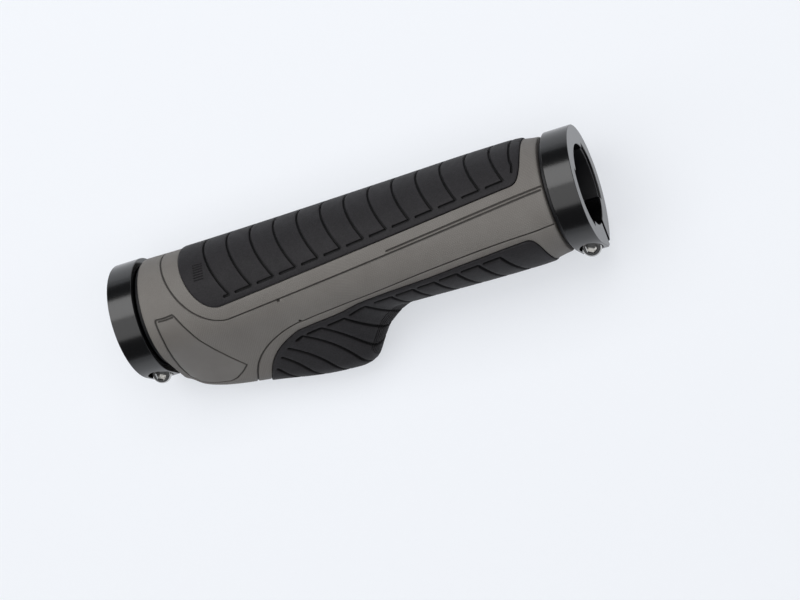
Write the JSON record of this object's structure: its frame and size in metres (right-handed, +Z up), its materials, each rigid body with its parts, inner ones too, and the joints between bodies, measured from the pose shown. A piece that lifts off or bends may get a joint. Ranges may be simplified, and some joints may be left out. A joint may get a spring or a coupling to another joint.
{
  "type": "handlebar grip",
  "caption": "Bicycle handlebar grip with a palm wing, grey rubber body, black ribbed inlaid pads and a screw-tightened clamp ring at each end.",
  "frame": {"origin": "middle of the footprint, on the ground that the grip lies on", "axes": "+X along the bar from the outboard end to the inboard end, +Z up, the wing towards -Y"},
  "size_m": [0.1348, 0.0462, 0.0341],
  "materials": {
    "grey_rubber": "moulded rubber with a fine cross-hatched texture, matt",
    "black_rubber": "moulded rubber ribs, matt",
    "black_nylon": "moulded nylon, satin",
    "black_anodised": "turned and black anodised, glossy",
    "stainless_steel": "bright stainless screw"
  },
  "bodies": {
    "root": {"core_sleeve": "black_nylon", "rubber_body": "grey_rubber", "barrel_pad": "black_rubber", "wing_pad": "black_rubber", "outboard_clamp_ring": "black_anodised", "inboard_clamp_ring": "black_anodised", "outboard_clamp_screw": "stainless_steel", "inboard_clamp_screw": "stainless_steel"}
  },
  "joints": []
}
